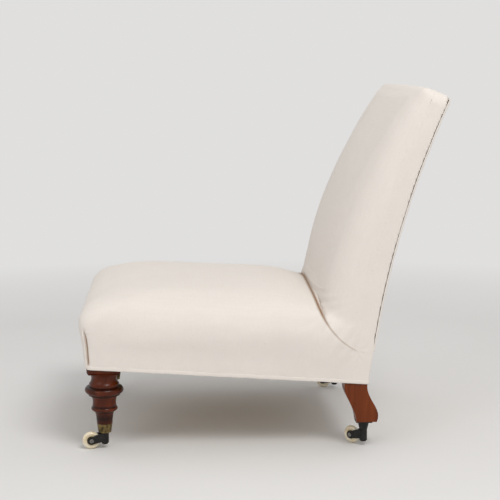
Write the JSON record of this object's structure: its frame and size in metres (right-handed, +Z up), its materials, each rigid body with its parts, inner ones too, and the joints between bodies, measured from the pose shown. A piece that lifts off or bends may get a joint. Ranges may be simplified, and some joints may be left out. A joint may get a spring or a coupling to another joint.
{
  "type": "slipper chair",
  "caption": "Low armless upholstered chair with a deep crowned seat, a raked curved back, turned front legs, sabre rear legs and small swivelling castors.",
  "frame": {"origin": "centre of the bounding box on the floor", "axes": "+Z up, -Y towards the front of the seat, +X towards the sitter's left"},
  "size_m": [0.536, 0.7604, 0.7562],
  "materials": {
    "calico": "plain-woven unbleached cotton, matt",
    "stuffing": "curled hair under cotton felt",
    "hessian": "coarse plain weave",
    "webbing": "herringbone jute webbing",
    "spring_steel": "coppered wire",
    "blued_steel": "blued cut tacks",
    "polished_wood": "dark red-brown French polish, worn",
    "porcelain": "cream glaze, aged",
    "old_brass": "dull with age",
    "dark_iron": "blackened",
    "screw_steel": "dull",
    "frame_wood": "plain sawn hardwood"
  },
  "bodies": {
    "chair": {"back_cover": "calico", "back_sacking": "hessian", "back_stay_rail": "frame_wood", "back_stuffing": "stuffing", "back_tacks": "blued_steel", "back_top_rail": "frame_wood", "back_webbing_cross": "webbing", "back_webbing_upright": "webbing", "bottom_cloth": "hessian", "castor_cup_front_left": "old_brass", "castor_cup_front_right": "old_brass", "castor_pintle_front_left": "screw_steel", "castor_pintle_front_right": "screw_steel", "castor_pintle_rear_left": "screw_steel", "castor_pintle_rear_right": "screw_steel", "castor_plate_rear_left": "dark_iron", "castor_plate_rear_right": "dark_iron", "castor_plate_screws": "screw_steel", "corner_block_screws": "screw_steel", "corner_blocks": "frame_wood", "front_leg_left": "polished_wood", "front_leg_right": "polished_wood", "front_rail": "frame_wood", "hem_tacks": "blued_steel", "outside_back": "calico", "rail_dowels": "frame_wood", "rear_leg_left": "polished_wood", "rear_leg_right": "polished_wood", "rear_rail": "frame_wood", "seat_cover": "calico", "seat_platform": "hessian", "seat_springs": "spring_steel", "seat_stuffing": "stuffing", "seat_webbing_cross": "webbing", "seat_webbing_long": "webbing", "side_rail_left": "frame_wood", "side_rail_right": "frame_wood"},
    "castor_swivel_front_left": {"castor_horn_front_left": "dark_iron", "castor_axle_front_left": "screw_steel"},
    "castor_wheel_front_left": {"castor_wheel_front_left": "porcelain", "castor_bush_front_left": "old_brass"},
    "castor_swivel_front_right": {"castor_horn_front_right": "dark_iron", "castor_axle_front_right": "screw_steel"},
    "castor_wheel_front_right": {"castor_wheel_front_right": "porcelain", "castor_bush_front_right": "old_brass"},
    "castor_swivel_rear_left": {"castor_horn_rear_left": "dark_iron", "castor_axle_rear_left": "screw_steel"},
    "castor_wheel_rear_left": {"castor_wheel_rear_left": "porcelain", "castor_bush_rear_left": "old_brass"},
    "castor_swivel_rear_right": {"castor_horn_rear_right": "dark_iron", "castor_axle_rear_right": "screw_steel"},
    "castor_wheel_rear_right": {"castor_wheel_rear_right": "porcelain", "castor_bush_rear_right": "old_brass"}
  },
  "joints": [
    {"name": "swivel_front_left", "type": "hinge", "parent": "chair", "child": "castor_swivel_front_left", "pos_m": [0.2247, -0.3307, 0.02], "axis": [0, 0, 1], "continuous": true},
    {"name": "spin_front_left", "type": "hinge", "parent": "castor_swivel_front_left", "child": "castor_wheel_front_left", "pos_m": [0.22974, -0.35926, 0.0185], "axis": [-0.9848, -0.1736, 0], "continuous": true},
    {"name": "swivel_front_right", "type": "hinge", "parent": "chair", "child": "castor_swivel_front_right", "pos_m": [-0.2247, -0.3307, 0.02], "axis": [0, 0, 1], "continuous": true},
    {"name": "spin_front_right", "type": "hinge", "parent": "castor_swivel_front_right", "child": "castor_wheel_front_right", "pos_m": [-0.21867, -0.35907, 0.0185], "axis": [-0.9781, -0.2079, 0], "continuous": true},
    {"name": "swivel_rear_left", "type": "hinge", "parent": "chair", "child": "castor_swivel_rear_left", "pos_m": [0.2387, 0.2143, 0.02], "axis": [0, 0, 1], "continuous": true},
    {"name": "spin_rear_left", "type": "hinge", "parent": "castor_swivel_rear_left", "child": "castor_wheel_rear_left", "pos_m": [0.21855, 0.19344, 0.0185], "axis": [-0.7193, 0.6947, 0], "continuous": true},
    {"name": "swivel_rear_right", "type": "hinge", "parent": "chair", "child": "castor_swivel_rear_right", "pos_m": [-0.2387, 0.2143, 0.02], "axis": [0, 0, 1], "continuous": true},
    {"name": "spin_rear_right", "type": "hinge", "parent": "castor_swivel_rear_right", "child": "castor_wheel_rear_right", "pos_m": [-0.25096, 0.18802, 0.0185], "axis": [-0.9063, 0.4226, 0], "continuous": true}
  ]
}
